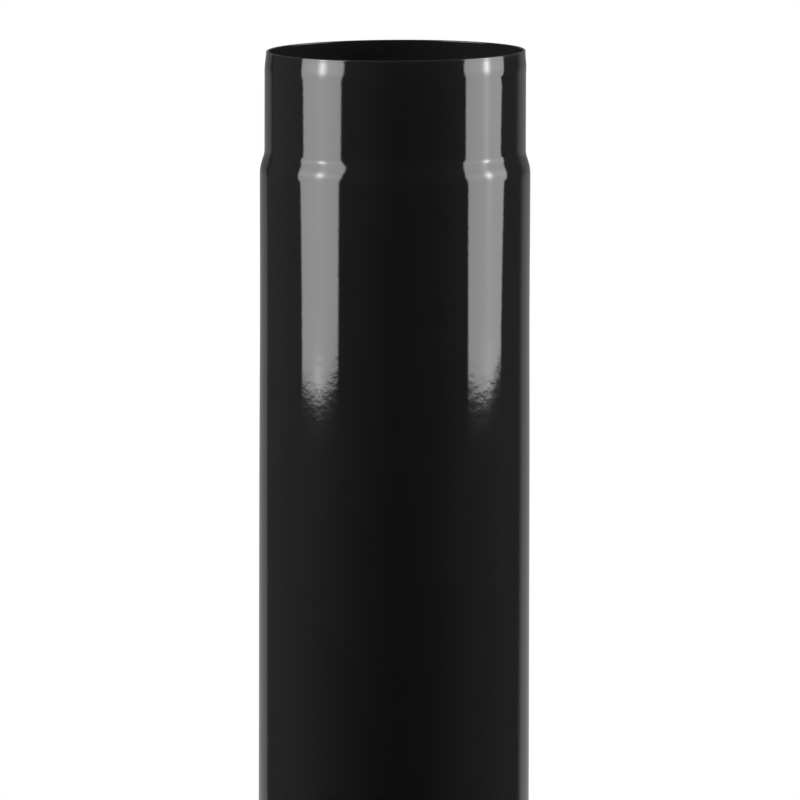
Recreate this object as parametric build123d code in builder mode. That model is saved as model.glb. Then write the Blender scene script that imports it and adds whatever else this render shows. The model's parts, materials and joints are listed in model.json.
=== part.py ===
"""A straight length of single-wall enamelled stove pipe.

One steel sheet is rolled round, welded along the back and swaged at the top into a spigot. The plain
end stands at z = 0, on the pipe's axis, and takes the spigot of the next length. All sizes are in
millimetres. The weld is on the +Y side.
"""

import os
from math import cos, radians, sin, sqrt, tan

from build123d import *

# Sheet and tube
bore_diameter = 120.0  # inside of the plain end, which is the pipe's nominal size
wall = 1.2  # finished wall: steel sheet with an enamel coat on both faces
pipe_length = 500.0  # plain end to spigot rim, before its edges are rounded

# Swaged spigot, which slides into the plain end of the next length
joint_clearance = 0.9  # radial gap between a spigot and the bore that it goes into
spigot_length = 45.0  # rim to the hollow bend at the spigot's foot
swage_angle = 18.0  # slope of the flank between the two bends, from the axis, in degrees
root_height = 3.1  # hollow bend at the spigot's foot, along the axis
shoulder_height = 5.8  # round bend where the flank meets the body, along the axis
lip_height = 10.0  # top of the spigot, drawn in to lead it into the next length
lip_bend_height = 4.2  # part of the lip's height that bends; the rest is a straight cone
lip_angle = 8.5  # slope of the cone, from the axis, in degrees

# Cut edges, rounded by the enamel that flows over them
rim_radius = 0.45
plain_edge_radius = 0.3
largest_edge_share = 0.45  # of the wall, so that a flat always stays between two rounded edges

# Weld bead along the back, planished flush inside the bore and on the spigot
seam_width = 3.0
seam_height = 0.25
seam_run_out = 12.0  # length over which the bead fades away below the shoulder

# Radii and heights that follow
bore_radius = bore_diameter / 2
body_radius = bore_radius + wall
spigot_radius = bore_radius - joint_clearance

# The two bends close part of the step between body and spigot, and the straight flank closes the rest
slope = radians(swage_angle)
shoulder_radius = shoulder_height / sin(slope)
root_radius = root_height / sin(slope)
bend_step = (shoulder_height + root_height) * tan(slope / 2)
flank_length = (body_radius - spigot_radius - bend_step) / sin(slope)
swage_height = shoulder_height + flank_length * cos(slope) + root_height
body_length = pipe_length - spigot_length - swage_height

# The lip bends in from the spigot and goes on as a cone up to the rim
lip_slope = radians(lip_angle)
lip_radius = lip_bend_height / sin(lip_slope)
cone_length = (lip_height - lip_bend_height) / cos(lip_slope)

# The bead's crown is an arc through both its edges, which lie on the body, and its ridge
seam_edge = sqrt(body_radius**2 - (seam_width / 2) ** 2)
seam_ridge = body_radius + seam_height
seam_rise = seam_ridge - seam_edge
crown_radius = ((seam_width / 2) ** 2 + seam_rise**2) / (2 * seam_rise)
seam_root = body_radius - wall / 2  # the bead is fused with the outer half of the wall

# Weld bead: a crescent drawn along the body, cut away on a slant where it runs out at the top
with BuildPart() as weld_bead:
    with BuildSketch(Plane.XY.offset(plain_edge_radius)):
        with Locations((0, seam_ridge - crown_radius)):
            Circle(crown_radius)
        Circle(seam_root, mode=Mode.SUBTRACT)
    extrude(amount=body_length - plain_edge_radius)
    with BuildSketch(Plane.YZ):
        with BuildLine():
            Polyline(
                (seam_root, 0),
                (seam_ridge, 0),
                (seam_ridge, body_length - seam_run_out),
                (body_radius, body_length),
                (seam_root, body_length),
                close=True,
            )
        make_face()
    extrude(amount=seam_width, both=True, mode=Mode.INTERSECT)

# Pipe: the outer skin from plain end to rim, given the sheet's thickness and turned about the axis
with BuildPart() as pipe:
    with BuildSketch(Plane.XZ) as wall_section:
        with BuildLine():
            body = Line((body_radius, 0), (body_radius, body_length))
            shoulder = JernArc(body @ 1, body % 1, shoulder_radius, swage_angle)
            flank = PolarLine(shoulder @ 1, flank_length, direction=shoulder % 1)
            root = JernArc(flank @ 1, flank % 1, root_radius, -swage_angle)
            spigot = Line(root @ 1, (spigot_radius, pipe_length - lip_height))
            lip_bend = JernArc(spigot @ 1, spigot % 1, lip_radius, lip_angle)
            PolarLine(lip_bend @ 1, cone_length, direction=lip_bend % 1)
            offset(amount=wall, side=Side.LEFT)
        make_face()
        rim_corners = wall_section.vertices().sort_by(Axis.Y)[-2:]
        fillet(rim_corners, min(rim_radius, largest_edge_share * wall))
        plain_corners = wall_section.vertices().sort_by(Axis.Y)[:2]
        fillet(plain_corners, min(plain_edge_radius, largest_edge_share * wall))
    revolve(axis=Axis.Z)
    add(weld_bead.part)

pipe.part.label = "pipe"
os.makedirs("parts", exist_ok=True)
export_step(pipe.part, "parts/pipe.step")
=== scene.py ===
"""Looks of a gloss black enamelled stove pipe length, standing on a pale studio floor.

The pipe is one sheet of steel, so it is one piece: a geometry node tree turns its wall section about the
axis, raises the weld along the back and gives the rolled sheet its slight waves.
"""

import json
import logging
import math
from dataclasses import dataclass
from enum import Enum
from typing import Any, NamedTuple

import bpy
from mathutils import Euler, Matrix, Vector


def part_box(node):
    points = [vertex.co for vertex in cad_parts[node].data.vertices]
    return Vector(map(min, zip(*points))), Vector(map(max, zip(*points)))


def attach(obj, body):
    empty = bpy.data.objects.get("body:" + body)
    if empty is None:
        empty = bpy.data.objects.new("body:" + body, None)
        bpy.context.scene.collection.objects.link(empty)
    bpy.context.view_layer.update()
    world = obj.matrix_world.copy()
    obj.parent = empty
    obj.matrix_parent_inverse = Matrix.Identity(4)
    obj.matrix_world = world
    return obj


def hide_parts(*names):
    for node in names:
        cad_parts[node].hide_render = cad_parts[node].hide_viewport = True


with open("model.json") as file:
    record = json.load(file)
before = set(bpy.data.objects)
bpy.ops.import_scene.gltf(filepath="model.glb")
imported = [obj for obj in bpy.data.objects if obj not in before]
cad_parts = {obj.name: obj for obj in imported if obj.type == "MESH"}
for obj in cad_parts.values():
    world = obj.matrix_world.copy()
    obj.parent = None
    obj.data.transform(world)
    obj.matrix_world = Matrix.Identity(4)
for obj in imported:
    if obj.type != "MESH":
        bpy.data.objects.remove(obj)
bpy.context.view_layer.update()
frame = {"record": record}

MM = 0.001
MICRON = 1e-6
IMAGE_PIXELS = 800
LOG = logging.getLogger("stove_pipe")

# A value that a geometry node tree takes from its modifier
TreeInput = int | float | tuple[float, float, float]


def linear(hex_colour: str) -> tuple[float, float, float, float]:
    """Turn an sRGB hex colour into linear RGBA.

    Args:
        hex_colour: Six hex digits, with or without a leading hash.

    Returns:
        Red, green, blue and an alpha of one, in linear light.
    """
    digits = hex_colour.lstrip("#")
    encoded = [int(digits[at : at + 2], 16) / 255 for at in (0, 2, 4)]
    light = [c / 12.92 if c <= 0.04045 else ((c + 0.055) / 1.055) ** 2.4 for c in encoded]
    return (*light, 1.0)


def add_node(
    tree: bpy.types.NodeTree, kind: str, inputs: dict[str | int, Any] | None = None, **settings: Any
) -> bpy.types.Node:
    """Add a node with its settings, and link or set its inputs.

    Args:
        tree: The node tree that gets the node.
        kind: The node's type name.
        inputs: Socket name or index to a value, or to the socket that feeds it.
        **settings: The node's own options.

    Returns:
        The new node.
    """
    node = tree.nodes.new(kind)
    for name, value in settings.items():
        setattr(node, name, value)
    for name, value in (inputs or {}).items():
        if isinstance(value, bpy.types.NodeSocket):
            tree.links.new(value, node.inputs[name])
        else:
            node.inputs[name].default_value = value
    return node


def new_material(name: str) -> bpy.types.Material:
    """Make a material with an empty node tree.

    Args:
        name: The material's name.

    Returns:
        The material, whose tree still needs an output.
    """
    material = bpy.data.materials.new(name)
    material.use_nodes = True
    material.node_tree.nodes.clear()
    return material


def new_object(name: str, data: bpy.types.ID) -> bpy.types.Object:
    """Put a mesh or a camera into the scene.

    Args:
        name: The object's name.
        data: What the object holds.

    Returns:
        The object, at the origin.
    """
    made = bpy.data.objects.new(name, data)
    bpy.context.scene.collection.objects.link(made)
    return made


@dataclass(frozen=True)
class GlossEnamel:
    """Vitreous enamel, sprayed on as glass slip and fired: a hard, deep, wet-looking black.

    It mirrors lamps sharply, with a fine orange peel that frays the ends of long reflections.
    """

    name: str
    body_hex: str
    bloom_hex: str
    edge_hex: str
    roughness: float
    haze_roughness: float
    edge_roughness: float
    peel_height: float
    ior: float = 1.5

    # Clouding of the coat, and the span of it over which the gloss goes from clear to hazy
    bloom_cell: float = 28 * MM
    bloom_detail: float = 3.0
    bloom_roughness: float = 0.55
    clear_bloom: float = 0.35
    hazy_bloom: float = 0.7

    # Orange peel, and the specks in it
    peel_cell: float = 3.2 * MM
    peel_detail: float = 2.0
    peel_roughness: float = 0.5
    speck_cell: float = 11 * MM
    speck_radius: float = 0.22 * MM
    speck_height: float = 6 * MICRON

    # Band along each cut edge where the coat thins out, and the share of it that is thinnest
    edge_band: float = 1.3 * MM
    thinnest_share: float = 0.2

    def build(self, top: float) -> bpy.types.Material:
        """Make the material.

        Args:
            top: Height of the pipe's rim, in metres.

        Returns:
            The enamel, patterned on object coordinates.
        """
        material = new_material(self.name)
        tree = material.node_tree
        place = add_node(tree, "ShaderNodeTexCoord").outputs["Object"]

        # Slow clouding of the fired coat: colour and haze wander over a few centimetres
        bloom = add_node(
            tree, "ShaderNodeTexNoise",
            {"Vector": place, "Scale": 1 / self.bloom_cell,
             "Detail": self.bloom_detail, "Roughness": self.bloom_roughness},
        ).outputs["Fac"]

        # Thin enamel on the cut edges at both ends
        thinnest = self.thinnest_share * self.edge_band
        height = add_node(tree, "ShaderNodeSeparateXYZ", {0: place}).outputs["Z"]
        near_rim = add_node(
            tree, "ShaderNodeMapRange",
            {"Value": height, "From Min": top - self.edge_band, "From Max": top - thinnest},
            interpolation_type="SMOOTHSTEP",
        ).outputs["Result"]
        near_plain = add_node(
            tree, "ShaderNodeMapRange",
            {"Value": height, "From Min": self.edge_band, "From Max": thinnest},
            interpolation_type="SMOOTHSTEP",
        ).outputs["Result"]
        edge = add_node(tree, "ShaderNodeMath", {0: near_rim, 1: near_plain}, operation="MAXIMUM").outputs[0]

        cloud = add_node(
            tree, "ShaderNodeMix",
            {"Factor": bloom, "A": linear(self.body_hex), "B": linear(self.bloom_hex)},
            data_type="RGBA",
        ).outputs["Result"]
        colour = add_node(
            tree, "ShaderNodeMix", {"Factor": edge, "A": cloud, "B": linear(self.edge_hex)}, data_type="RGBA"
        ).outputs["Result"]
        haze = add_node(
            tree, "ShaderNodeMapRange",
            {"Value": bloom, "From Min": self.clear_bloom, "From Max": self.hazy_bloom,
             "To Min": self.roughness, "To Max": self.haze_roughness},
        ).outputs["Result"]
        gloss = add_node(
            tree, "ShaderNodeMix", {"Factor": edge, "A": haze, "B": self.edge_roughness}, data_type="FLOAT"
        ).outputs["Result"]

        # Orange peel of the sprayed slip, with a few fired-in specks standing on it
        peel = add_node(
            tree, "ShaderNodeTexNoise",
            {"Vector": place, "Scale": 1 / self.peel_cell,
             "Detail": self.peel_detail, "Roughness": self.peel_roughness},
        ).outputs["Fac"]
        grain = add_node(
            tree, "ShaderNodeTexVoronoi", {"Vector": place, "Scale": 1 / self.speck_cell, "Randomness": 1.0}
        ).outputs["Distance"]
        speck = add_node(
            tree, "ShaderNodeMapRange",
            {"Value": grain, "From Min": self.speck_radius / self.speck_cell, "From Max": 0.0},
            interpolation_type="SMOOTHSTEP",
        ).outputs["Result"]
        peeled = add_node(
            tree, "ShaderNodeBump", {"Strength": 1.0, "Distance": self.peel_height, "Height": peel}
        ).outputs["Normal"]
        surface = add_node(
            tree, "ShaderNodeBump",
            {"Strength": 1.0, "Distance": self.speck_height, "Height": speck, "Normal": peeled},
        ).outputs["Normal"]

        shader = add_node(
            tree, "ShaderNodeBsdfPrincipled",
            {"Base Color": colour, "Roughness": gloss, "IOR": self.ior, "Normal": surface},
        ).outputs["BSDF"]
        add_node(tree, "ShaderNodeOutputMaterial", {"Surface": shader})
        return material


# Cover coat on the outside: glossy enough that the studio's lamps stand in it as clear stripes
COVER_COAT = GlossEnamel(
    name="gloss_black_cover_enamel",
    body_hex="#0B0B0B",
    bloom_hex="#101010",
    edge_hex="#191919",
    roughness=0.042,
    haze_roughness=0.052,
    edge_roughness=0.11,
    peel_height=10 * MICRON,
)

# Ground coat inside the bore: the same glass without the second spray, a little duller and greyer
GROUND_COAT = GlossEnamel(
    name="semi_gloss_ground_enamel",
    body_hex="#1D1D1D",
    bloom_hex="#222222",
    edge_hex="#191919",
    roughness=0.09,
    haze_roughness=0.12,
    edge_roughness=0.16,
    peel_height=16 * MICRON,
)


class SkinPoint(NamedTuple):
    """A point on the outside of the sheet, with the sheet's slope towards the axis there."""

    radius: float
    height: float
    slope: float


class Ring(NamedTuple):
    """A ring of the turned wall, and how the sheet departs from round there."""

    radius: float
    height: float
    bead: float
    ease: float
    cut: float


@dataclass(frozen=True)
class Stretch:
    """A stretch of the skin that is straight or evenly bent, up to a height where it has a given slope."""

    rings: int
    top: float
    slope: float

    def follow(self, start: SkinPoint) -> list[SkinPoint]:
        """Go along the stretch.

        Args:
            start: Where the stretch below ends.

        Returns:
            The stretch's rings, without its start.
        """
        points = []
        turn = math.sin(self.slope) - math.sin(start.slope)
        for step in range(1, self.rings + 1):
            share = step / self.rings
            if turn == 0.0:
                rise = (self.top - start.height) * share
                inset = rise * math.tan(self.slope)
                slope = self.slope
            else:
                bend_radius = (self.top - start.height) / turn
                slope = start.slope + (self.slope - start.slope) * share
                rise = bend_radius * (math.sin(slope) - math.sin(start.slope))
                inset = bend_radius * (math.cos(start.slope) - math.cos(slope))
            points.append(SkinPoint(start.radius - inset, start.height + rise, slope))
        return points


@dataclass(frozen=True)
class EnamelledPipe:
    """The pipe: its wall section, and the node tree that turns it about the axis."""

    # Sheet and tube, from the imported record
    wall: float
    bore_radius: float
    spigot_radius: float
    length: float
    straight_foot: float
    straight_top: float

    # Swaged shoulder, drawn-in lip and rounded edges
    swage_angle: float = math.radians(18)
    root_height: float = 3.1 * MM
    shoulder_height: float = 5.8 * MM
    lip_bend: float = 4.2 * MM
    lip_angle: float = math.radians(8.5)
    rim_turn: float = 2.2 * MM
    rim_angle: float = math.radians(4.5)
    rim_radius: float = 0.45 * MM
    plain_edge_radius: float = 0.3 * MM
    corner_steps: int = 5

    # Weld along the back
    seam_width: float = 3.0 * MM
    seam_height: float = 0.25 * MM
    seam_run_out: float = 12 * MM

    # How the worked sheet departs from round: a rim cut out of square and drawn in less at the sides, a
    # slight waist below the shoulder, and slow waves
    rim_skew: float = math.radians(0.4)
    rim_oval: float = 0.55 * MM
    rim_drift: float = 0.2 * MM
    waist_depth: float = 0.22 * MM
    waist_below: float = 62 * MM
    waist_reach: float = 48 * MM
    wave_height: float = 0.025 * MM
    wave_cell: float = 34 * MM
    wave_stretch: float = 2.2
    wave_detail: float = 1.0
    wave_roughness: float = 0.4
    seed: float = 214.7

    # Columns of the mesh, crowded together near the weld, and the gap that closes where they meet
    segments: int = 384
    crowding: float = 0.75
    closing_gap: float = 0.5 * MICRON

    @classmethod
    def from_record(cls, record: dict[str, Any], top: float) -> "EnamelledPipe":
        """Take the pipe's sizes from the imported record's mounts.

        Args:
            record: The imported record.
            top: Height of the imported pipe, in metres.

        Returns:
            The pipe at its real size.
        """
        mounts = {mount["name"]: mount for mount in record["mounts"]}
        radius = {name: mounts[name]["dims"]["r_mm"] * MM for name in ("body", "socket", "spigot")}
        middle = mounts["spigot"]["pos_m"][2]
        half = mounts["spigot"]["dims"]["length_mm"] * MM / 2
        return cls(
            wall=radius["body"] - radius["socket"],
            bore_radius=radius["socket"],
            spigot_radius=radius["spigot"],
            length=top,
            straight_foot=middle - half,
            straight_top=middle + half,
        )

    @property
    def body_radius(self) -> float:
        """Outside radius of the body."""
        return self.bore_radius + self.wall

    @property
    def body_top(self) -> float:
        """Height at which the body ends and the swaged shoulder begins.

        Returns:
            The height, in metres.
        """
        bend_step = (self.shoulder_height + self.root_height) * math.tan(self.swage_angle / 2)
        flank_step = self.body_radius - self.spigot_radius - bend_step
        flank_rise = flank_step / math.tan(self.swage_angle)
        return self.straight_foot - self.root_height - flank_rise - self.shoulder_height

    @property
    def rim_foot(self) -> float:
        """Height at which the outside of the lip ends and the rounded rim begins."""
        return self.length - self.rim_radius * (1 - math.sin(self.rim_angle))

    def skin(self) -> list[SkinPoint]:
        """Follow the outside of the sheet from the plain end to the rim.

        Returns:
            A point for each ring of the outside.
        """
        points = [SkinPoint(self.body_radius, self.plain_edge_radius, 0.0)]
        for stretch in (
            Stretch(rings=56, top=self.body_top - self.seam_run_out, slope=0.0),
            Stretch(rings=4, top=self.body_top, slope=0.0),
            Stretch(rings=10, top=self.body_top + self.shoulder_height, slope=self.swage_angle),
            Stretch(rings=4, top=self.straight_foot - self.root_height, slope=self.swage_angle),
            Stretch(rings=8, top=self.straight_foot, slope=0.0),
            Stretch(rings=10, top=self.straight_top, slope=0.0),
            Stretch(rings=10, top=self.straight_top + self.lip_bend, slope=self.lip_angle),
            Stretch(rings=4, top=self.rim_foot - self.rim_turn, slope=self.lip_angle),
            Stretch(rings=6, top=self.rim_foot, slope=self.rim_angle),
        ):
            points += stretch.follow(points[-1])
        return points

    def corner(self, radius: float, height: float, bend: float, first: float) -> list[tuple[float, float]]:
        """Round a corner of the section by a quarter turn.

        Args:
            radius: Radius at which the corner's centre lies.
            height: Height at which it lies.
            bend: The corner's own radius.
            first: Angle at which it starts, from straight outwards.

        Returns:
            Radius and height of the corner's points, without its start.
        """
        angles = [first + math.pi / 2 * step / self.corner_steps for step in range(1, self.corner_steps + 1)]
        return [(radius + bend * math.cos(angle), height + bend * math.sin(angle)) for angle in angles]

    def ring(self, radius: float, height: float, welded: bool = False) -> Ring:
        """Note how the worked sheet departs from round at a point of the section.

        Args:
            radius: Radius of the section point.
            height: Height of the section point.
            welded: Whether the weld bead stands on this face.

        Returns:
            The ring that the point makes.
        """
        fade = min(max((self.body_top - height) / self.seam_run_out, 0.0), 1.0)
        off_waist = (height - self.body_top + self.waist_below) / self.waist_reach
        return Ring(
            radius=radius - self.waist_depth * math.exp(-(off_waist**2)),
            height=height,
            bead=self.seam_height * fade if welded else 0.0,
            ease=max((height - self.straight_top) / (self.length - self.straight_top), 0.0),
            cut=max((height - self.straight_foot) / (self.length - self.straight_foot), 0.0),
        )

    def section(self) -> list[Ring]:
        """Draw the closed wall section: up the outside, over the rim, down the inside, round the plain end.

        Returns:
            The rings that the section makes, with the first repeated at the end.
        """
        skin = self.skin()
        loop = [self.ring(point.radius, point.height, welded=True) for point in skin]
        top, rim, edge = skin[-1], self.rim_radius, self.plain_edge_radius
        for inset, turn in ((rim, 0.0), (self.wall - rim, math.pi / 2)):
            centre = (top.radius - inset * math.cos(top.slope), top.height - inset * math.sin(top.slope))
            loop += [self.ring(*point) for point in self.corner(*centre, rim, top.slope + turn)]
        for point in reversed(skin[:-1]):
            inside = point.radius - self.wall * math.cos(point.slope)
            loop.append(self.ring(inside, point.height - self.wall * math.sin(point.slope)))
        loop += [self.ring(*point) for point in self.corner(self.bore_radius + edge, edge, edge, math.pi)]
        outer = self.corner(self.body_radius - edge, edge, edge, 1.5 * math.pi)
        return loop + [self.ring(*point, welded=True) for point in outer]

    def section_mesh(self) -> bpy.types.Mesh:
        """Make the section as loose points, each with its ring's departure from round.

        Returns:
            A mesh where X is the radius, Y the share of the way along the section and Z the height.
        """
        loop = self.section()
        steps = [math.dist(one[:2], two[:2]) for one, two in zip(loop, loop[1:])]
        shares = [sum(steps[:count]) / sum(steps) for count in range(len(loop))]
        mesh = bpy.data.meshes.new("wall_section")
        mesh.from_pydata([(ring.radius, share, ring.height) for ring, share in zip(loop, shares)], [], [])
        departure = mesh.attributes.new("departure", "FLOAT_VECTOR", "POINT")
        for value, ring in zip(departure.data, loop):
            value.vector = (ring.bead, ring.ease, ring.cut)
        return mesh

    def tree_inputs(self, rows: int) -> dict[str, TreeInput]:
        """Name the sizes that the turning tree takes.

        Args:
            rows: Number of points in the section.

        Returns:
            Each named input's value.
        """
        around = self.body_radius / self.wave_cell
        return {
            "Columns": self.segments + 1,
            "Rows": rows,
            "Crowding": self.crowding,
            "Seam Half Angle": self.seam_width / 2 / self.body_radius,
            "Wave Height": self.wave_height,
            "Wave Count": (around, around, 1 / (self.wave_cell * self.wave_stretch)),
            "Rim Oval": self.rim_oval,
            "Rim Drift": self.rim_drift,
            "Rim Skew": math.tan(self.rim_skew),
            "Seed": self.seed,
        }

    def turning_tree(
        self, inputs: dict[str, TreeInput], cover: bpy.types.Material, ground: bpy.types.Material
    ) -> bpy.types.NodeTree:
        """Build the tree that turns the section about the axis.

        Args:
            inputs: The tree's named inputs.
            cover: Enamel of the outside.
            ground: Enamel of the inside.

        Returns:
            A geometry node tree that takes the section and gives the dressed wall.
        """
        tree = bpy.data.node_groups.new("turned_sheet", "GeometryNodeTree")
        kinds = {int: "NodeSocketInt", float: "NodeSocketFloat", tuple: "NodeSocketVector"}
        tree.interface.new_socket("Geometry", in_out="INPUT", socket_type="NodeSocketGeometry")
        for name, value in inputs.items():
            tree.interface.new_socket(name, in_out="INPUT", socket_type=kinds[type(value)])
        tree.interface.new_socket("Geometry", in_out="OUTPUT", socket_type="NodeSocketGeometry")
        given = add_node(tree, "NodeGroupInput").outputs

        # A flat grid, one unit a row: its columns go round the pipe, and its rows follow the section.
        # Half a row is added to each row's number, because an index drops its fraction
        span = add_node(tree, "ShaderNodeMath", {0: given["Rows"], 1: 1.0}, operation="SUBTRACT").outputs[0]
        grid = add_node(
            tree, "GeometryNodeMeshGrid",
            {"Size X": math.tau, "Size Y": span, "Vertices X": given["Columns"], "Vertices Y": given["Rows"]},
        ).outputs["Mesh"]
        position = add_node(tree, "GeometryNodeInputPosition").outputs[0]
        spot = add_node(tree, "ShaderNodeSeparateXYZ", {0: position}).outputs
        row = add_node(
            tree, "ShaderNodeMath", {0: given["Rows"], 1: 0.5, 2: spot["Y"]}, operation="MULTIPLY_ADD"
        ).outputs[0]
        drawn = add_node(
            tree, "GeometryNodeSampleIndex",
            {"Geometry": given["Geometry"], "Value": position, "Index": row}, data_type="FLOAT_VECTOR",
        ).outputs["Value"]
        section = add_node(tree, "ShaderNodeSeparateXYZ", {0: drawn}).outputs
        noted = add_node(
            tree, "GeometryNodeInputNamedAttribute", {"Name": "departure"}, data_type="FLOAT_VECTOR"
        ).outputs["Attribute"]
        departure = add_node(
            tree, "GeometryNodeSampleIndex",
            {"Geometry": given["Geometry"], "Value": noted, "Index": row}, data_type="FLOAT_VECTOR",
        ).outputs["Value"]
        bead, ease, cut = add_node(tree, "ShaderNodeSeparateXYZ", {0: departure}).outputs

        # Angle from the weld, with the columns crowded together there
        sway = add_node(tree, "ShaderNodeMath", {0: spot["X"]}, operation="SINE").outputs[0]
        hold = add_node(
            tree, "ShaderNodeMath", {0: sway, 1: given["Crowding"]}, operation="MULTIPLY"
        ).outputs[0]
        angle = add_node(tree, "ShaderNodeMath", {0: hold, 1: spot["X"]}, operation="SUBTRACT").outputs[0]
        across = add_node(tree, "ShaderNodeMath", {0: angle}, operation="SINE").outputs[0]
        along = add_node(tree, "ShaderNodeMath", {0: angle}, operation="COSINE").outputs[0]

        # Weld bead: a low round crown that fades out below the shoulder
        aside = add_node(tree, "ShaderNodeMath", {0: angle}, operation="ABSOLUTE").outputs[0]
        toe = add_node(
            tree, "ShaderNodeMapRange", {"Value": aside, "From Max": given["Seam Half Angle"]}
        ).outputs["Result"]
        dip = add_node(tree, "ShaderNodeMath", {0: toe, 1: toe}, operation="MULTIPLY").outputs[0]
        crown = add_node(tree, "ShaderNodeMath", {0: 1.0, 1: dip}, operation="SUBTRACT").outputs[0]
        welded = add_node(
            tree, "ShaderNodeMath", {0: crown, 1: bead, 2: section["X"]}, operation="MULTIPLY_ADD"
        ).outputs[0]

        # Waves of the rolled sheet: both faces move together, so the wall keeps its thickness
        around = add_node(tree, "ShaderNodeCombineXYZ", {0: across, 1: along, 2: section["Z"]}).outputs[0]
        waves = add_node(
            tree, "ShaderNodeVectorMath", {0: around, 1: given["Wave Count"]}, operation="MULTIPLY"
        ).outputs[0]
        swell = add_node(
            tree, "ShaderNodeTexNoise",
            {"Vector": waves, "W": given["Seed"], "Scale": 1.0,
             "Detail": self.wave_detail, "Roughness": self.wave_roughness},
            noise_dimensions="4D", normalize=False,
        ).outputs["Fac"]
        waved = add_node(
            tree, "ShaderNodeMath", {0: swell, 1: given["Wave Height"], 2: welded}, operation="MULTIPLY_ADD"
        ).outputs[0]

        # The lip is drawn in less at the sides, and the rim is cut a little out of square
        square = add_node(tree, "ShaderNodeMath", {0: across, 1: across}, operation="MULTIPLY").outputs[0]
        abeam = add_node(tree, "ShaderNodeMath", {0: square, 1: square}, operation="MULTIPLY").outputs[0]
        drift = add_node(
            tree, "ShaderNodeMath", {0: across, 1: given["Rim Drift"]}, operation="MULTIPLY"
        ).outputs[0]
        loose = add_node(
            tree, "ShaderNodeMath", {0: abeam, 1: given["Rim Oval"], 2: drift}, operation="MULTIPLY_ADD"
        ).outputs[0]
        radius = add_node(
            tree, "ShaderNodeMath", {0: loose, 1: ease, 2: waved}, operation="MULTIPLY_ADD"
        ).outputs[0]
        side = add_node(tree, "ShaderNodeMath", {0: across, 1: radius}, operation="MULTIPLY").outputs[0]
        depth = add_node(tree, "ShaderNodeMath", {0: along, 1: radius}, operation="MULTIPLY").outputs[0]
        skew = add_node(
            tree, "ShaderNodeMath", {0: cut, 1: given["Rim Skew"]}, operation="MULTIPLY"
        ).outputs[0]
        level = add_node(
            tree, "ShaderNodeMath", {0: side, 1: skew, 2: section["Z"]}, operation="MULTIPLY_ADD"
        ).outputs[0]
        place = add_node(tree, "ShaderNodeCombineXYZ", {0: side, 1: depth, 2: level}).outputs[0]

        # The sheet unrolled, for baking: round the pipe one way and along the section the other
        share = add_node(
            tree, "ShaderNodeMath", {0: angle, 1: 1 / math.tau, 2: 0.5}, operation="MULTIPLY_ADD"
        ).outputs[0]
        unrolled = add_node(tree, "ShaderNodeCombineXYZ", {0: share, 1: section["Y"]}).outputs[0]
        mapped = add_node(
            tree, "GeometryNodeStoreNamedAttribute", {"Geometry": grid, "Name": "OFBake", "Value": unrolled},
            data_type="FLOAT2", domain="CORNER",
        ).outputs[0]
        turned = add_node(tree, "GeometryNodeSetPosition", {"Geometry": mapped, "Position": place}).outputs[0]
        closed = add_node(
            tree, "GeometryNodeMergeByDistance", {"Geometry": turned, "Distance": self.closing_gap}
        ).outputs[0]
        smooth = add_node(tree, "GeometryNodeSetShadeSmooth", {"Geometry": closed}).outputs[0]
        whole = add_node(tree, "GeometryNodeRealizeInstances", {"Geometry": smooth}).outputs[0]

        # The bore's faces look towards the axis
        normal = add_node(tree, "GeometryNodeInputNormal").outputs[0]
        outward = add_node(
            tree, "ShaderNodeVectorMath", {0: position, 1: (1.0, 1.0, 0.0)}, operation="MULTIPLY"
        ).outputs[0]
        facing = add_node(
            tree, "ShaderNodeVectorMath", {0: normal, 1: outward}, operation="DOT_PRODUCT"
        ).outputs["Value"]
        inward = add_node(tree, "ShaderNodeMath", {0: facing, 1: 0.0}, operation="LESS_THAN").outputs[0]
        covered = add_node(tree, "GeometryNodeSetMaterial", {"Geometry": whole, "Material": cover}).outputs[0]
        lined = add_node(
            tree, "GeometryNodeSetMaterial", {"Geometry": covered, "Selection": inward, "Material": ground}
        ).outputs[0]
        add_node(tree, "NodeGroupOutput", {"Geometry": lined})
        return tree

    def build(self) -> bpy.types.Object:
        """Turn the section into the finished piece, attach it to the root body and hide the imported part.

        Returns:
            The pipe as a plain mesh object that stands for the CAD node.
        """
        section = self.section_mesh()
        inputs = self.tree_inputs(len(section.vertices))
        tree = self.turning_tree(inputs, COVER_COAT.build(self.length), GROUND_COAT.build(self.length))
        pattern = new_object("wall_section", section)
        modifier = pattern.modifiers.new("turned_sheet", "NODES")
        modifier.node_group = tree
        sockets = {item.name: item.identifier for item in tree.interface.items_tree if item.in_out == "INPUT"}
        for name, value in inputs.items():
            modifier[sockets[name]] = value
        depsgraph = bpy.context.evaluated_depsgraph_get()
        mesh = bpy.data.meshes.new_from_object(pattern.evaluated_get(depsgraph))
        pattern.modifiers.remove(modifier)
        bpy.data.objects.remove(pattern)
        mesh.name = "enamelled_pipe"
        piece = new_object("enamelled_pipe", mesh)
        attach(piece, "root")
        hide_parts("pipe")
        return piece


class Side(Enum):
    """Side of the camera that a lamp stands on; the value points along its panel towards its far edge."""

    LEFT = 1.0
    RIGHT = -1.0


@dataclass(frozen=True)
class Glow:
    """A bright place on a lamp's cloth that falls off evenly, and is tall or flat."""

    level: float
    radius: float
    stretch: float
    drop: float = 0.0


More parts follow.
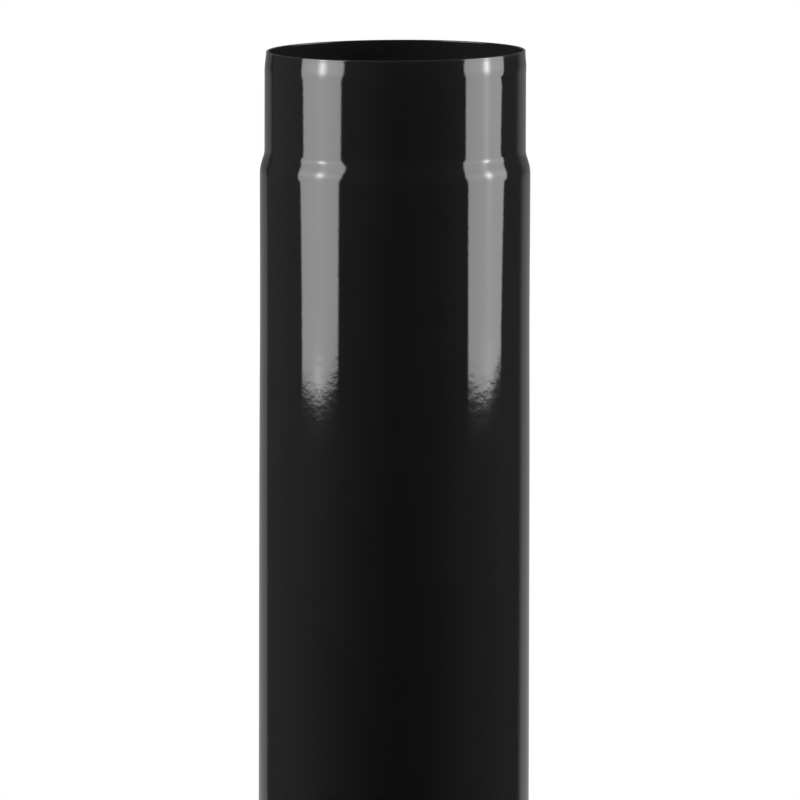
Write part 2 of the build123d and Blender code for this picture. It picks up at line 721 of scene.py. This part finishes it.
@dataclass(frozen=True)
class Softbox:
    """A cloth-fronted lamp: a bright panel with soft sides, brightest in front of its bulb.

    Its near edge is towards the camera and its far edge away from it. The near edge slants in above the
    panel's middle, the far edge slants in towards the foot, and the foot bends at its middle. Lengths are
    in metres and angles in degrees.
    """

    side: Side
    azimuth: float
    near: float
    far: float
    foot: float
    near_lift: float
    far_lift: float
    near_slant: float
    far_slant: float
    level: float
    far_dimming: float
    glows: tuple[Glow, ...]
    far_knee: float = 0.33
    head: float = 0.56
    distance: float = 1.25
    height: float = 0.72
    tilt: float = 20.0
    bow: float = 0.15
    side_blur: float = 0.07
    foot_blur: float = 0.014

    def outline(self, grown: float) -> list[tuple[float, float]]:
        """Draw the panel's outline.

        Args:
            grown: Share of the soft border by which the outline is let out, or drawn in where negative.

        Returns:
            Corners from the foot's near end round to the near edge, as reach towards the far edge and height.
        """
        border, sill = self.side_blur / 2 * grown, self.foot_blur / 2 * grown
        near, far = -self.near - border, self.far + border
        far_foot = far - self.far_slant * (self.foot - self.far_knee)
        return [
            (near, self.near_lift - self.foot - sill),
            (0.0, -self.foot - sill),
            (far_foot, self.far_lift - self.foot - sill),
            (far, -self.far_knee),
            (far, self.head),
            (near + self.near_slant * self.head, self.head),
            (near, 0.0),
        ]

    def build(self) -> bpy.types.Object:
        """Hang the panel, facing the pipe.

        Returns:
            The panel, which belongs to the studio and not to the pipe.
        """
        name = "softbox_" + self.side.name.lower()
        outer, inner = self.outline(1.0), self.outline(-1.0)
        count = len(outer)
        border = [(n, (n + 1) % count, (n + 1) % count + count, n + count) for n in range(count)]
        mesh = bpy.data.meshes.new(name)
        corners = [(reach * self.side.value, height, 0.0) for reach, height in outer + inner]
        mesh.from_pydata(corners, [], border + [tuple(range(count, 2 * count))])
        cover = mesh.attributes.new("cover", "FLOAT", "POINT")
        cover.data.foreach_set("value", [0.0] * count + [1.0] * count)
        mesh.materials.append(self.cloth(name + "_cloth"))
        panel = new_object(name, mesh)
        turn = math.radians(self.azimuth)
        panel.location = (math.sin(turn) * self.distance, -math.cos(turn) * self.distance, self.height)
        inward = Vector((-math.sin(turn), math.cos(turn), -math.tan(math.radians(self.tilt))))
        panel.rotation_euler = inward.to_track_quat("Z", "Y").to_euler()
        panel.visible_camera = False
        panel.visible_shadow = False
        return panel

    def cloth(self, name: str) -> bpy.types.Material:
        """Make the lit cloth.

        Args:
            name: The material's name.

        Returns:
            White cloth that shines by itself and thins out at its border.
        """
        material = new_material(name)
        tree = material.node_tree
        place = add_node(tree, "ShaderNodeTexCoord").outputs["Object"]

        # The cloth darkens from its middle to its sides, most at the far one
        across = add_node(tree, "ShaderNodeSeparateXYZ", {0: place}).outputs["X"]
        half = self.side.value * (self.near + self.far) / 2
        share = add_node(tree, "ShaderNodeMath", {0: across, 1: half}, operation="DIVIDE").outputs[0]
        bowed = add_node(tree, "ShaderNodeMath", {0: share, 1: share}, operation="MULTIPLY").outputs[0]
        bow, dimming = -self.bow * self.level, -self.far_dimming * self.level
        even = add_node(
            tree, "ShaderNodeMath", {0: bowed, 1: bow, 2: self.level}, operation="MULTIPLY_ADD"
        ).outputs[0]
        light = add_node(
            tree, "ShaderNodeMath", {0: share, 1: dimming, 2: even}, operation="MULTIPLY_ADD"
        ).outputs[0]

        # Bulb behind the cloth, the faint glows up and across from it, and the glow along the foot
        for spot in self.glows:
            tall = spot.radius * spot.stretch
            near = add_node(
                tree, "ShaderNodeMapping",
                {"Vector": place, "Location": (0.0, spot.drop / tall, 0.0),
                 "Scale": (1 / spot.radius, 1 / tall, 1.0)},
            ).outputs[0]
            reach = add_node(
                tree, "ShaderNodeVectorMath", {0: near, 1: near}, operation="DOT_PRODUCT"
            ).outputs["Value"]
            fall = add_node(tree, "ShaderNodeMath", {0: math.exp(-1), 1: reach}, operation="POWER").outputs[0]
            light = add_node(
                tree, "ShaderNodeMath", {0: fall, 1: spot.level, 2: light}, operation="MULTIPLY_ADD"
            ).outputs[0]

        border = add_node(tree, "ShaderNodeAttribute", attribute_name="cover").outputs["Fac"]
        cover = add_node(
            tree, "ShaderNodeMapRange", {"Value": border}, interpolation_type="SMOOTHSTEP"
        ).outputs["Result"]
        lit = add_node(tree, "ShaderNodeEmission", {"Strength": light}).outputs[0]
        clear = add_node(tree, "ShaderNodeBsdfTransparent").outputs[0]
        mix = add_node(tree, "ShaderNodeMixShader", {0: cover, 1: clear, 2: lit}).outputs[0]
        add_node(tree, "ShaderNodeOutputMaterial", {"Surface": mix})
        return material


@dataclass(frozen=True)
class Flats:
    """Painted screens in a ring around the set under a grey ceiling, which the enamel mirrors.

    Lengths are in metres and angles in degrees.
    """

    radius: float = 1.7
    foot: float = -1.6
    top: float = 1.5
    sides: int = 128
    ceiling_level: float = 0.22

    # Brightness against the angle from the camera's side, left negative: dark behind the camera, grey at
    # the sides, and a pale backdrop behind the pipe
    stops: tuple[tuple[float, float], ...] = (
        (-180, 0.33), (-141, 0.365), (-137, 0.1), (-110, 0.17), (-80, 0.2), (-42, 0.125), (-20, 0.08),
        (0, 0.045), (33, 0.075), (58, 0.15), (105, 0.15), (131, 0.075), (141, 0.39), (180, 0.33),
    )

    # How the brightness changes with height, for each metre above the middle, as far as the reach
    middle: float = 0.17
    reach: float = 0.3
    front_rise: float = 2.8
    side_rise: float = 0.4
    backdrop_rise: float = -1.4
    spread: float = 0.08

    # Angles from the camera's side at which the front ends, the sides begin and end, and the backdrop
    # begins
    front_end: float = 20.0
    side_start: float = 85.0
    side_end: float = 133.0
    backdrop_start: float = 138.0

    # Below the floor's level the flats brighten, as a cove does
    cove_top: float = -0.05
    cove_foot: float = -0.24
    cove_gain: float = 2.8

    def build(self) -> None:
        """Stand the flats and hang the ceiling, out of the camera's sight."""
        turns = [math.tau * n / self.sides for n in range(self.sides)]
        ring = [(self.radius * math.sin(turn), self.radius * math.cos(turn)) for turn in turns]
        low = [(x, y, self.foot) for x, y in ring]
        high = [(x, y, self.top) for x, y in ring]
        count = self.sides
        walls = [(n, (n + 1) % count, (n + 1) % count + count, n + count) for n in range(count)]
        for name, points, faces, paint in (
            ("studio_flats", low + high, walls, self.paint()),
            ("studio_ceiling", high, [tuple(range(count))], self.ceiling_paint()),
        ):
            mesh = bpy.data.meshes.new(name)
            mesh.from_pydata(points, [], faces)
            mesh.materials.append(paint)
            screen = new_object(name, mesh)
            screen.visible_camera = False
            screen.visible_shadow = False

    def ceiling_paint(self) -> bpy.types.Material:
        """Make the ceiling's even grey.

        Returns:
            Paint that shines by itself.
        """
        material = new_material("grey_ceiling_paint")
        tree = material.node_tree
        lit = add_node(tree, "ShaderNodeEmission", {"Strength": self.ceiling_level}).outputs[0]
        add_node(tree, "ShaderNodeOutputMaterial", {"Surface": lit})
        return material

    def paint(self) -> bpy.types.Material:
        """Make the flats' paint: a ramp around the set that changes a little with height.

        Returns:
            Paint that shines by itself.
        """
        material = new_material("lit_flat_paint")
        tree = material.node_tree
        place = add_node(tree, "ShaderNodeTexCoord").outputs["Object"]
        at = add_node(tree, "ShaderNodeSeparateXYZ", {0: place}).outputs
        front = add_node(tree, "ShaderNodeMath", {0: at["Y"], 1: -1.0}, operation="MULTIPLY").outputs[0]
        angle = add_node(tree, "ShaderNodeMath", {0: at["X"], 1: front}, operation="ARCTAN2").outputs[0]
        above = add_node(
            tree, "ShaderNodeMapRange",
            {"Value": at["Z"], "From Min": self.middle - self.reach, "From Max": self.middle + self.reach,
             "To Min": -self.reach, "To Max": self.reach},
        ).outputs["Result"]

        # The backdrop is a little wider towards the floor
        lean = add_node(
            tree, "ShaderNodeMath", {0: above, 1: -self.spread, 2: 1.0}, operation="MULTIPLY_ADD"
        ).outputs[0]
        turn = add_node(tree, "ShaderNodeMath", {0: angle, 1: lean}, operation="MULTIPLY").outputs[0]
        share = add_node(
            tree, "ShaderNodeMath", {0: turn, 1: 1 / math.tau, 2: 0.5}, operation="MULTIPLY_ADD"
        ).outputs[0]
        ramp = add_node(tree, "ShaderNodeValToRGB", {"Fac": share})
        elements = ramp.color_ramp.elements
        while len(elements) < len(self.stops):
            elements.new(0.5)
        for element, (azimuth, light) in zip(elements, self.stops):
            element.position = azimuth / 360 + 0.5
            element.color = (light, light, light, 1.0)

        turned = add_node(tree, "ShaderNodeMath", {0: angle}, operation="ABSOLUTE").outputs[0]
        rise = add_node(
            tree, "ShaderNodeMapRange",
            {"Value": turned,
             "From Min": math.radians(self.front_end), "From Max": math.radians(self.side_start),
             "To Min": self.front_rise, "To Max": self.side_rise},
        ).outputs["Result"]
        slope = add_node(
            tree, "ShaderNodeMapRange",
            {"Value": turned,
             "From Min": math.radians(self.side_end), "From Max": math.radians(self.backdrop_start),
             "To Min": rise, "To Max": self.backdrop_rise},
        ).outputs["Result"]
        strength = add_node(
            tree, "ShaderNodeMath", {0: above, 1: slope, 2: 1.0}, operation="MULTIPLY_ADD"
        ).outputs[0]
        gain = add_node(
            tree, "ShaderNodeMapRange",
            {"Value": at["Z"], "From Min": self.cove_top, "From Max": self.cove_foot,
             "To Min": strength, "To Max": self.cove_gain},
            interpolation_type="SMOOTHSTEP",
        ).outputs["Result"]
        lit = add_node(
            tree, "ShaderNodeEmission", {"Color": ramp.outputs["Color"], "Strength": gain}
        ).outputs[0]
        add_node(tree, "ShaderNodeOutputMaterial", {"Surface": lit})
        return material


@dataclass(frozen=True)
class Studio:
    """Pale floor, white surroundings, soft lamps and flats."""

    # A round floor that shows the pipe's shadow in the middle and is white from a share of its radius on
    floor_radius: float = 0.9
    floor_sides: int = 96
    floor_hex: str = "#F2F2F0"
    shadow_reach: float = 0.27
    white_share: float = 0.95

    # Light in the room and from the set
    room_level: float = 0.22
    flats: Flats = Flats()
    lamps: tuple[Softbox, ...] = (
        Softbox(
            Side.LEFT, azimuth=-67.0, near=0.475, far=0.545, foot=0.535, near_lift=0.013, far_lift=0.002,
            near_slant=0.1, far_slant=0.45, level=6.2, far_dimming=0.065,
            glows=(
                Glow(level=8.5, radius=0.08, stretch=1.5),
                Glow(level=1.8, radius=0.085, stretch=3.5),
                Glow(level=1.1, radius=0.6, stretch=0.2),
                Glow(level=2.6, radius=0.13, stretch=0.06, drop=0.522),
            ),
        ),
        Softbox(
            Side.RIGHT, azimuth=86.5, near=0.57, far=0.553, foot=0.533, near_lift=-0.002, far_lift=0.011,
            near_slant=0.35, far_slant=0.85, level=5.5, far_dimming=0.18,
            glows=(
                Glow(level=8.0, radius=0.08, stretch=1.5, drop=0.09),
                Glow(level=2.8, radius=0.085, stretch=3.5, drop=0.09),
                Glow(level=0.9, radius=0.6, stretch=0.2, drop=0.09),
                Glow(level=0.9, radius=0.25, stretch=0.05, drop=0.52),
            ),
        ),
    )

    def build(self) -> None:
        """Set up the room, the floor, the flats and the lamps."""
        self.build_world()
        self.build_floor()
        self.flats.build()
        for lamp in self.lamps:
            LOG.info("lamp %s", lamp.build().name)

    def looking(self, tree: bpy.types.NodeTree) -> bpy.types.NodeSocket:
        """Tell the rays that look at the surroundings from those that only carry light.

        Args:
            tree: The node tree that asks.

        Returns:
            One for camera, glossy and transmitted rays, and zero for the rest.
        """
        path = add_node(tree, "ShaderNodeLightPath").outputs
        direct = add_node(
            tree, "ShaderNodeMath", {0: path["Is Camera Ray"], 1: path["Is Glossy Ray"]}, operation="MAXIMUM"
        ).outputs[0]
        return add_node(
            tree, "ShaderNodeMath", {0: direct, 1: path["Is Transmission Ray"]}, operation="MAXIMUM"
        ).outputs[0]

    def build_world(self) -> None:
        """Make the world: white to look at, and a dim even light."""
        world = bpy.data.worlds.new("studio_room")
        world.use_nodes = True
        bpy.context.scene.world = world
        tree = world.node_tree
        tree.nodes.clear()
        dim = (self.room_level, self.room_level, self.room_level, 1.0)
        room = add_node(tree, "ShaderNodeBackground", {"Color": dim}).outputs[0]
        white = add_node(tree, "ShaderNodeBackground", {"Color": (1.0, 1.0, 1.0, 1.0)}).outputs[0]
        mix = add_node(tree, "ShaderNodeMixShader", {0: self.looking(tree), 1: room, 2: white}).outputs[0]
        add_node(tree, "ShaderNodeOutputWorld", {"Surface": mix})

    def build_floor(self) -> None:
        """Lay the floor: a disc that fades into the white around it and keeps the pipe's shadow."""
        radius = self.floor_radius
        turns = [math.tau * n / self.floor_sides for n in range(self.floor_sides)]
        rim = [(radius * math.cos(turn), radius * math.sin(turn), 0.0) for turn in turns]
        mesh = bpy.data.meshes.new("studio_floor")
        mesh.from_pydata(rim, [], [tuple(range(self.floor_sides))])
        mesh.materials.append(self.floor_paint())
        new_object("studio_floor", mesh)

    def floor_paint(self) -> bpy.types.Material:
        """Make the floor's matt paint, which lifts to white towards the disc's edge.

        Returns:
            The paint, patterned on object coordinates. It thins out in mirrored views, so that the edge of
            the disc leaves no line in the enamel.
        """
        material = new_material("matt_floor_paint")
        tree = material.node_tree
        place = add_node(tree, "ShaderNodeTexCoord").outputs["Object"]
        reach = add_node(tree, "ShaderNodeVectorMath", {0: place}, operation="LENGTH").outputs["Value"]
        fade = add_node(
            tree, "ShaderNodeMapRange",
            {"Value": reach, "From Min": self.shadow_reach, "From Max": self.white_share * self.floor_radius},
            interpolation_type="SMOOTHSTEP",
        ).outputs["Result"]
        lift = add_node(
            tree, "ShaderNodeMath", {0: fade, 1: self.looking(tree)}, operation="MULTIPLY"
        ).outputs[0]
        mirrored = add_node(tree, "ShaderNodeLightPath").outputs["Is Glossy Ray"]
        thin = add_node(tree, "ShaderNodeMath", {0: fade, 1: mirrored}, operation="MULTIPLY").outputs[0]
        paint = add_node(tree, "ShaderNodeBsdfDiffuse", {"Color": linear(self.floor_hex)}).outputs[0]
        white = add_node(tree, "ShaderNodeEmission", {"Strength": 1.0}).outputs[0]
        clear = add_node(tree, "ShaderNodeBsdfTransparent").outputs[0]
        lifted = add_node(tree, "ShaderNodeMixShader", {0: lift, 1: paint, 2: white}).outputs[0]
        thinned = add_node(tree, "ShaderNodeMixShader", {0: thin, 1: lifted, 2: clear}).outputs[0]
        add_node(tree, "ShaderNodeOutputMaterial", {"Surface": thinned})
        return material


@dataclass(frozen=True)
class PhotoCamera:
    """A long lens that looks down a little on the pipe's rim, as the photograph does."""

    distance: float = 10.0
    rim_elevation: float = math.radians(4.75)
    rim_pixel_y: float = 50.2
    axis_pixel_x: float = 394.6
    body_pixels: float = 270.9
    lean: float = math.radians(0.13)
    sensor: float = 36.0
    clip: tuple[float, float] = (0.05, 60.0)

    def build(self, pipe: EnamelledPipe) -> bpy.types.Object:
        """Place the camera so that the pipe's rim and body fall where the photograph has them.

        Args:
            pipe: The pipe that it looks at.

        Returns:
            The camera, which is made the scene's own.
        """
        half = IMAGE_PIXELS / 2
        reach = self.distance / math.cos(self.rim_elevation)
        focal = self.body_pixels * reach / (2 * pipe.body_radius)
        pitch = self.rim_elevation + math.atan((half - self.rim_pixel_y) / focal)
        data = bpy.data.cameras.new("photo_camera")
        data.sensor_width = self.sensor
        data.lens = focal * self.sensor / IMAGE_PIXELS
        data.clip_start, data.clip_end = self.clip
        camera = new_object("photo_camera", data)
        sideways = (half - self.axis_pixel_x) * reach / focal
        height = pipe.length + self.distance * math.tan(self.rim_elevation)
        camera.location = (sideways, -self.distance, height)
        level = Euler((math.pi / 2 - pitch, 0.0, 0.0)).to_quaternion()
        roll = Euler((0.0, 0.0, self.lean)).to_quaternion()
        camera.rotation_euler = (level @ roll).to_euler()
        bpy.context.scene.camera = camera
        return camera


def main() -> None:
    """Build the pipe, the studio and the camera in order."""
    logging.basicConfig(level=logging.INFO, format="%(name)s: %(message)s")
    bpy.context.scene.view_settings.view_transform = "Standard"
    pipe = EnamelledPipe.from_record(frame["record"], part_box("pipe")[1].z)
    piece = pipe.build()
    LOG.info("piece %s: %d faces", piece.name, len(piece.data.polygons))
    Studio().build()
    LOG.info("camera %s", PhotoCamera().build(pipe).name)


if __name__ == "__main__":
    main()
